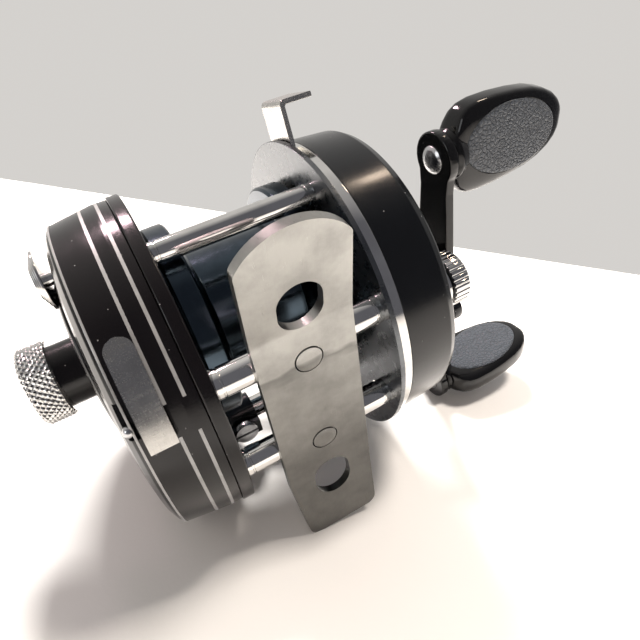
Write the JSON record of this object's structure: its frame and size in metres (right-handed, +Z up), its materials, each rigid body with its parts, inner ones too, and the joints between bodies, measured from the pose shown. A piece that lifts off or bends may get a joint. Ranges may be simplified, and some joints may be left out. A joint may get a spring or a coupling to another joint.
{
  "type": "baitcasting fishing reel",
  "caption": "Round baitcasting reel with a double paddle crank, star drag, level wind, clicker and a foot for a rod seat, lying on its rims.",
  "frame": {"origin": "centre of the bounding box on the table that the reel lies on", "axes": "+X along the spool towards the crank, level with the table; +Z up, away from the table; -Y is the side that the rod foot faces. The spool axis rises 12.1 degrees from the table towards +X"},
  "size_m": [0.1016, 0.0546, 0.0667],
  "materials": {
    "black_gloss": "gloss black lacquer",
    "black_satin": "satin black",
    "black_plastic": "moulded black plastic",
    "pad_leather": "grey leather grain",
    "chrome": "bright plated",
    "worn_steel": "dull, scratched",
    "brass": "machined",
    "steel": "ground",
    "nylon": "moulded nylon",
    "fibre": "pressed fibre",
    "brake_red": "moulded"
  },
  "bodies": {
    "frame": {"frame_left_plate": "black_gloss", "frame_right_plate": "black_satin", "rear_pillar": "chrome", "foot_pillar_rear": "chrome", "foot_pillar_front": "chrome", "foot": "worn_steel", "foot_rivets": "chrome", "side_ring": "chrome", "right_cover": "black_gloss", "cover_screws": "steel", "left_cover": "black_gloss", "left_washer": "chrome", "latch_pin": "steel", "bearing_left": "steel", "bearing_right": "steel", "drive_bush": "brass", "worm_tube": "chrome", "guide_bar": "chrome", "brake_ring": "steel", "side_cap_collar": "chrome"},
    "crank": {"crank_arm": "black_satin", "drive_shaft": "steel", "main_gear": "brass", "level_drive_gear": "nylon", "ratchet": "steel", "drag_washers": "fibre", "handle_nut": "chrome", "pivot_rivets": "steel"},
    "spool": {"spool": "black_satin", "spool_shaft": "steel", "pinion": "brass", "click_wheel": "brass", "brake_pin": "steel"},
    "idler": {"idler_gear": "nylon"},
    "worm": {"worm_shaft": "steel", "worm_gear": "nylon"},
    "line_guide": {"line_guide": "black_satin", "guide_pawl": "brass", "pawl_cap": "steel"},
    "paddle_upper": {"paddle_upper": "black_plastic", "pads_upper": "pad_leather"},
    "paddle_lower": {"paddle_lower": "black_plastic", "pads_lower": "pad_leather"},
    "star": {"star_drag": "black_satin"},
    "left_cap": {"left_cap": "chrome"},
    "side_cap": {"side_cap": "chrome"},
    "clicker": {"click_button": "chrome", "click_pawl": "steel"},
    "latch": {"latch_lever": "worn_steel"},
    "dog": {"dog": "steel"},
    "release": {"release_lever": "worn_steel"},
    "yoke": {"yoke": "steel"},
    "brake_a": {"brake_block_a": "brake_red"},
    "brake_b": {"brake_block_b": "brake_red"}
  },
  "joints": [
    {"name": "crank_spin", "type": "hinge", "parent": "frame", "child": "crank", "pos_m": [0.01642, -0.00314, 0.02883], "axis": [0.9778, 0, 0.2096], "continuous": true},
    {"name": "spool_spin", "type": "hinge", "parent": "frame", "child": "spool", "pos_m": [-0.0152, 0.00286, 0.03318], "axis": [0.9778, 0, 0.2096], "continuous": true},
    {"name": "idler_spin", "type": "hinge", "parent": "frame", "child": "idler", "pos_m": [0.00323, 0.00263, 0.01881], "axis": [0.9778, 0, 0.2096], "continuous": true},
    {"name": "worm_spin", "type": "hinge", "parent": "frame", "child": "worm", "pos_m": [-0.01006, 0.00341, 0.0092], "axis": [0.9778, 0, 0.2096], "continuous": true},
    {"name": "guide_travel", "type": "slide", "parent": "frame", "child": "line_guide", "axis": [0.9778, 0, 0.2096], "range_m": [0, 0.0164]},
    {"name": "upper_paddle_spin", "type": "hinge", "parent": "crank", "child": "paddle_upper", "pos_m": [0.01879, -0.00509, 0.05591], "axis": [0.9778, 0, 0.2096], "continuous": true},
    {"name": "lower_paddle_spin", "type": "hinge", "parent": "crank", "child": "paddle_lower", "pos_m": [0.02968, -0.00118, 0.00511], "axis": [0.9778, 0, 0.2096], "continuous": true},
    {"name": "drag_turn", "type": "hinge", "parent": "crank", "child": "star", "pos_m": [0.01837, -0.00314, 0.02925], "axis": [0.9778, 0, 0.2096], "range_deg": [-180, 180]},
    {"name": "left_cap_turn", "type": "hinge", "parent": "frame", "child": "left_cap", "pos_m": [-0.04746, 0.00286, 0.02627], "axis": [0.9778, 0, 0.2096], "range_deg": [-180, 180]},
    {"name": "side_cap_turn", "type": "hinge", "parent": "frame", "child": "side_cap", "pos_m": [0.01354, -0.01315, 0.0375], "axis": [0.9778, 0, 0.2096], "range_deg": [-180, 180]},
    {"name": "clicker_travel", "type": "slide", "parent": "frame", "child": "clicker", "axis": [0.2094, -0.0471, -0.9767], "range_m": [0, 0.002]},
    {"name": "latch_turn", "type": "hinge", "parent": "frame", "child": "latch", "pos_m": [-0.03406, 0.00131, 0.02574], "axis": [0.9778, 0, 0.2096], "range_deg": [0, 10]},
    {"name": "dog_lift", "type": "hinge", "parent": "frame", "child": "dog", "pos_m": [0.00345, -0.00976, 0.02206], "axis": [0.9778, 0, 0.2096], "range_deg": [0, 12]},
    {"name": "release_press", "type": "hinge", "parent": "frame", "child": "release", "pos_m": [-0.00081, 0.00131, 0.03286], "axis": [0.9778, 0, 0.2096], "range_deg": [-22, 0]},
    {"name": "yoke_travel", "type": "slide", "parent": "frame", "child": "yoke", "axis": [0.9778, 0, 0.2096], "range_m": [0, 0.0009]},
    {"name": "brake_a_travel", "type": "slide", "parent": "spool", "child": "brake_a", "axis": [0.209, 0.075, -0.975], "range_m": [0, 0.0008]},
    {"name": "brake_b_travel", "type": "slide", "parent": "spool", "child": "brake_b", "axis": [-0.209, -0.075, 0.975], "range_m": [0, 0.0008]}
  ],
  "couplings": [
    {"joint": "spool_spin", "follows": "crank_spin", "ratio": -4.0714},
    {"joint": "idler_spin", "follows": "crank_spin", "ratio": -0.85714},
    {"joint": "worm_spin", "follows": "crank_spin", "ratio": 2.4},
    {"joint": "yoke_travel", "follows": "release_press", "m_per_rad": -0.002343}
  ]
}
